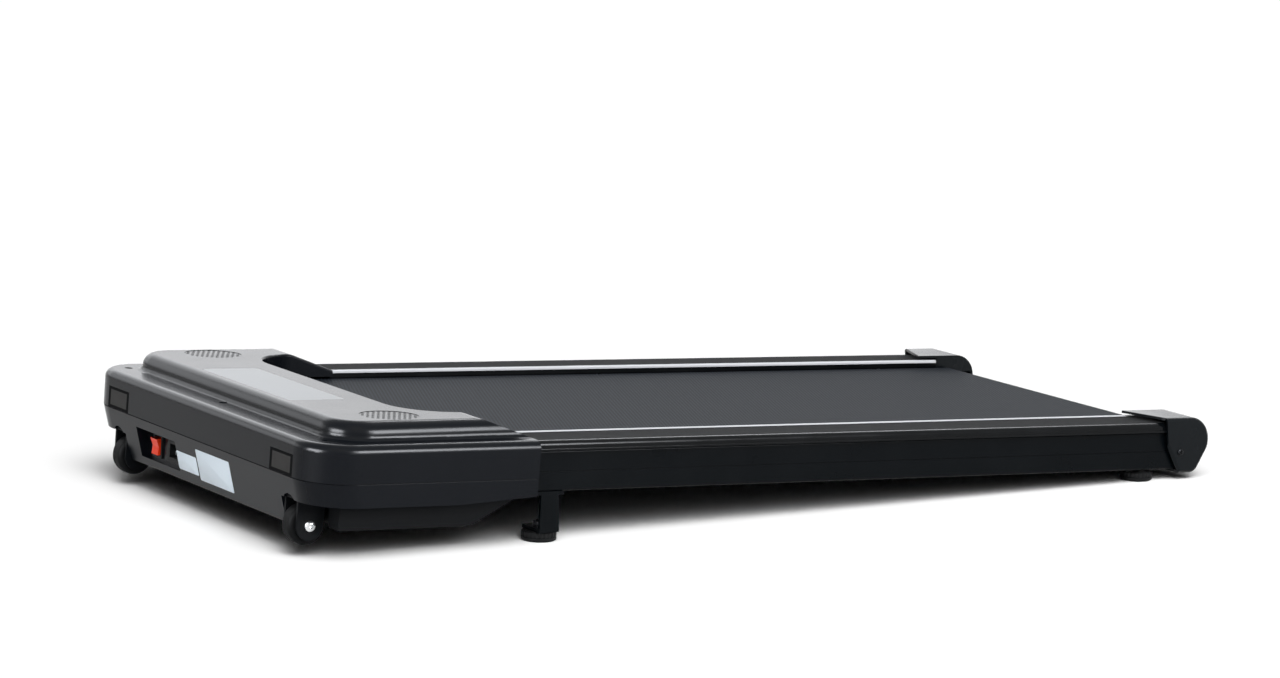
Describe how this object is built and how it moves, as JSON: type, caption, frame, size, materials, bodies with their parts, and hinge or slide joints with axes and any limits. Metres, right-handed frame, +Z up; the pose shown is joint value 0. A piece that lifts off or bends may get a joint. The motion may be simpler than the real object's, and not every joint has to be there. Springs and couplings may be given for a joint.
{
  "type": "walking pad",
  "caption": "Flat under-desk walking pad: moulded motor housing with display and speaker grilles, walking belt between foot rails, rear end caps, transport wheels and levelling feet.",
  "frame": {"origin": "on the floor under the middle of the bounding box", "axes": "+X across to the walker's left side, which is the right side seen from the front; +Y along the walking line from the motor housing to the rear; +Z up"},
  "size_m": [0.532, 1.1993, 0.1455],
  "materials": {
    "frame_paint": "smooth semi-gloss black powder coat",
    "rail_plastic": "gloss black extruded plastic with a fine lengthwise grain",
    "trim_metal": "satin anodised bright strip",
    "housing_plastic": "satin black moulded plastic, fine spark texture",
    "pan_plastic": "matt black moulded plastic",
    "cap_plastic": "semi-gloss black moulded plastic",
    "belt_fabric": "dark grey vinyl face with a fine diamond tread",
    "deck_wood": "dark phenolic-faced fibreboard",
    "rubber": "matt black moulded rubber",
    "tyre_rubber": "matt black rubber tyre",
    "hub_plastic": "satin black moulded plastic",
    "steel": "turned and ground bright steel",
    "dark_screws": "black oxide screws",
    "motor_metal": "grey cast and machined metal",
    "sink_metal": "extruded aluminium fins",
    "board": "green circuit board with capacitors",
    "display": "pale grey semi-gloss window",
    "grille": "matt black perforated moulding",
    "speaker": "black paper cone and steel basket, as one piece",
    "switch_black": "matt black moulded nylon",
    "rocker_red": "glossy orange-red moulded rocker"
  },
  "bodies": {
    "frame": {"belly_pan": "pan_plastic", "control_board": "board", "cover_screws": "dark_screws", "cross_members": "frame_paint", "deck_board": "deck_wood", "deck_cushions": "rubber", "deck_screws": "steel", "display_panel": "display", "drive_belt": "rubber", "front_roller_axle": "steel", "heat_sink": "sink_metal", "inlet_pins": "steel", "left_foot_rail": "rail_plastic", "left_front_leg": "frame_paint", "left_front_plug": "housing_plastic", "left_rear_cap": "cap_plastic", "left_side_frame": "frame_paint", "left_speaker": "speaker", "left_speaker_grille": "grille", "left_trim_strip": "trim_metal", "left_wheel_fork": "pan_plastic", "leg_screws": "steel", "lower_casing": "housing_plastic", "motor_body": "motor_metal", "motor_cradle": "motor_metal", "motor_cross_bar": "frame_paint", "power_inlet": "switch_black", "power_switch_body": "switch_black", "rear_cap_screws": "dark_screws", "rear_roller_axle": "steel", "right_foot_rail": "rail_plastic", "right_front_leg": "frame_paint", "right_front_plug": "housing_plastic", "right_rear_cap": "cap_plastic", "right_side_frame": "frame_paint", "right_speaker": "speaker", "right_speaker_grille": "grille", "right_trim_strip": "trim_metal", "right_wheel_fork": "pan_plastic", "tension_bolts": "steel", "upper_cover": "housing_plastic", "walking_belt": "belt_fabric", "wheel_bolts": "dark_screws"},
    "front_roller": {"front_roller": "steel", "front_roller_bearings": "steel", "roller_pulley": "motor_metal"},
    "rear_roller": {"rear_roller": "steel", "rear_roller_bearings": "steel"},
    "motor_rotor": {"motor_shaft": "steel", "motor_flywheel": "motor_metal"},
    "right_wheel": {"right_wheel_hub": "hub_plastic", "right_wheel_tyre": "tyre_rubber"},
    "left_wheel": {"left_wheel_hub": "hub_plastic", "left_wheel_tyre": "tyre_rubber"},
    "power_rocker": {"power_rocker": "rocker_red"},
    "right_front_foot": {"right_front_foot": "rubber"},
    "left_front_foot": {"left_front_foot": "rubber"},
    "right_rear_foot": {"right_rear_foot": "rubber"},
    "left_rear_foot": {"left_rear_foot": "rubber"}
  },
  "joints": [
    {"name": "front_roller_spin", "type": "hinge", "parent": "frame", "child": "front_roller", "pos_m": [0, -0.46926, 0.08955], "axis": [1, 0, 0], "continuous": true},
    {"name": "rear_roller_spin", "type": "hinge", "parent": "frame", "child": "rear_roller", "pos_m": [0, 0.55143, 0.03785], "axis": [1, 0, 0], "continuous": true},
    {"name": "motor_spin", "type": "hinge", "parent": "frame", "child": "motor_rotor", "pos_m": [0.126, -0.54297, 0.09709], "axis": [1, 0, 0], "continuous": true},
    {"name": "right_wheel_spin", "type": "hinge", "parent": "frame", "child": "right_wheel", "pos_m": [0.2, -0.57617, 0.03469], "axis": [1, 0, 0], "continuous": true},
    {"name": "left_wheel_spin", "type": "hinge", "parent": "frame", "child": "left_wheel", "pos_m": [-0.2, -0.57617, 0.03469], "axis": [1, 0, 0], "continuous": true},
    {"name": "power_rocker_tilt", "type": "hinge", "parent": "frame", "child": "power_rocker", "pos_m": [-0.125, -0.57846, 0.05884], "axis": [1, 0, 0], "range_deg": [-16, 0]},
    {"name": "right_front_foot_screw", "type": "slide", "parent": "frame", "child": "right_front_foot", "axis": [0, 0, -1], "range_m": [0, 0.006]},
    {"name": "left_front_foot_screw", "type": "slide", "parent": "frame", "child": "left_front_foot", "axis": [0, 0, -1], "range_m": [0, 0.006]},
    {"name": "right_rear_foot_screw", "type": "slide", "parent": "frame", "child": "right_rear_foot", "axis": [0, 0, -1], "range_m": [0, 0.006]},
    {"name": "left_rear_foot_screw", "type": "slide", "parent": "frame", "child": "left_rear_foot", "axis": [0, 0, -1], "range_m": [0, 0.006]}
  ],
  "couplings": [
    {"joint": "rear_roller_spin", "follows": "front_roller_spin", "ratio": 1},
    {"joint": "motor_spin", "follows": "front_roller_spin", "ratio": 2.5}
  ]
}
